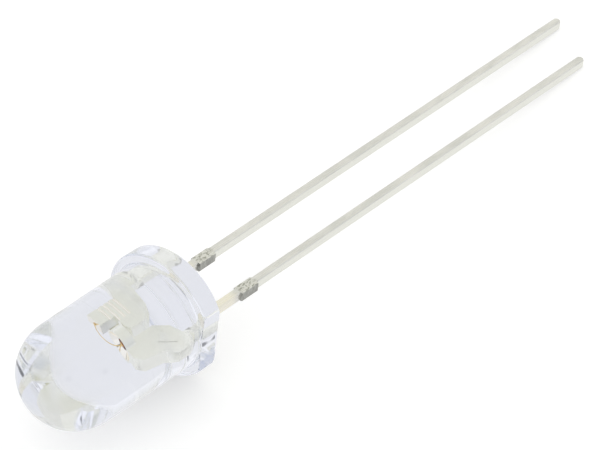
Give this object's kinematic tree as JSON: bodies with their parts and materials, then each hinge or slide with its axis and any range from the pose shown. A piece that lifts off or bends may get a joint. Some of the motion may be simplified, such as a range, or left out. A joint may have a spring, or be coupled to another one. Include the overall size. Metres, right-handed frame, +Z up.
{
  "type": "through hole led",
  "caption": "Clear round light-emitting diode with a domed lens, a flange with a polarity flat, and straight square leads.",
  "frame": {"origin": "on the resting surface, at the middle of the laid LED's length and width", "axes": "+X from the leads to the dome, +Z up from the surface it lies on, and the cathode lead on the +Y side"},
  "size_m": [0.0364, 0.0056, 0.0061],
  "materials": {
    "clear_epoxy": "gloss",
    "silver_plated_steel": "satin",
    "silver_epoxy": "satin",
    "chip": "satin",
    "gold_wire": "polished"
  },
  "bodies": {
    "root": {"epoxy_body": "clear_epoxy", "cathode_lead": "silver_plated_steel", "anode_lead": "silver_plated_steel", "die_attach": "silver_epoxy", "led_chip": "chip", "bond_wire": "gold_wire"}
  },
  "joints": []
}
